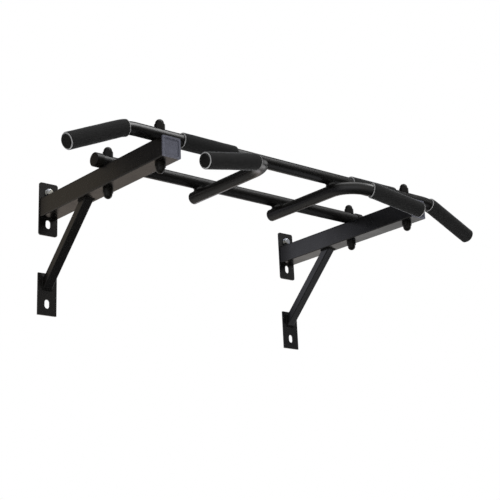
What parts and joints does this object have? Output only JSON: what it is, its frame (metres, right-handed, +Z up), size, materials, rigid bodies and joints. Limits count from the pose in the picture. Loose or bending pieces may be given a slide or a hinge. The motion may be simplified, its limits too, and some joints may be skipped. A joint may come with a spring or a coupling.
{
  "type": "wall-mounted pull-up bar",
  "caption": "Wall-mounted pull-up bar: strutted steel brackets carry a long bent front bar, a rear bar and turned-out middle bars with foam grips.",
  "frame": {"origin": "on the wall plane, midway between the axes of the two upper wall screws", "axes": "+X along the bars to the right as seen facing the wall, +Y into the wall, +Z up"},
  "size_m": [1.3262, 0.6287, 0.3594],
  "materials": {
    "black_paint": "semi-gloss black powder coat",
    "foam": "matte closed-cell foam",
    "cap_plastic": "satin moulded black plastic",
    "arm_cap": "satin moulded blue-grey plastic",
    "zinc": "bright zinc plating"
  },
  "bodies": {
    "root": {"bar_bolts": "zinc", "bar_nuts": "zinc", "bar_saddles": "cap_plastic", "bar_spacers": "black_paint", "bar_washers": "zinc", "bolt_head_saddles": "zinc", "front_bar": "black_paint", "left_arm": "black_paint", "left_arm_end_cap": "arm_cap", "left_bracket_welds": "black_paint", "left_front_grip_foam": "foam", "left_lower_wall_plate": "black_paint", "left_middle_bar": "black_paint", "left_middle_bar_rear_plug": "cap_plastic", "left_middle_grip_foam": "foam", "left_middle_grip_plug": "cap_plastic", "left_outer_grip_foam": "foam", "left_outer_grip_plug": "cap_plastic", "left_rear_bar_cap": "cap_plastic", "left_strut": "black_paint", "left_upper_wall_plate": "black_paint", "lower_bolt_covers": "cap_plastic", "rear_bar": "black_paint", "right_arm": "black_paint", "right_arm_end_cap": "arm_cap", "right_bracket_welds": "black_paint", "right_front_grip_foam": "foam", "right_lower_wall_plate": "black_paint", "right_middle_bar": "black_paint", "right_middle_bar_rear_plug": "cap_plastic", "right_middle_grip_foam": "foam", "right_middle_grip_plug": "cap_plastic", "right_outer_grip_foam": "foam", "right_outer_grip_plug": "cap_plastic", "right_rear_bar_cap": "cap_plastic", "right_strut": "black_paint", "right_upper_wall_plate": "black_paint", "upper_bolt_covers": "cap_plastic", "wall_screws": "zinc", "wall_washers": "zinc"}
  },
  "joints": []
}
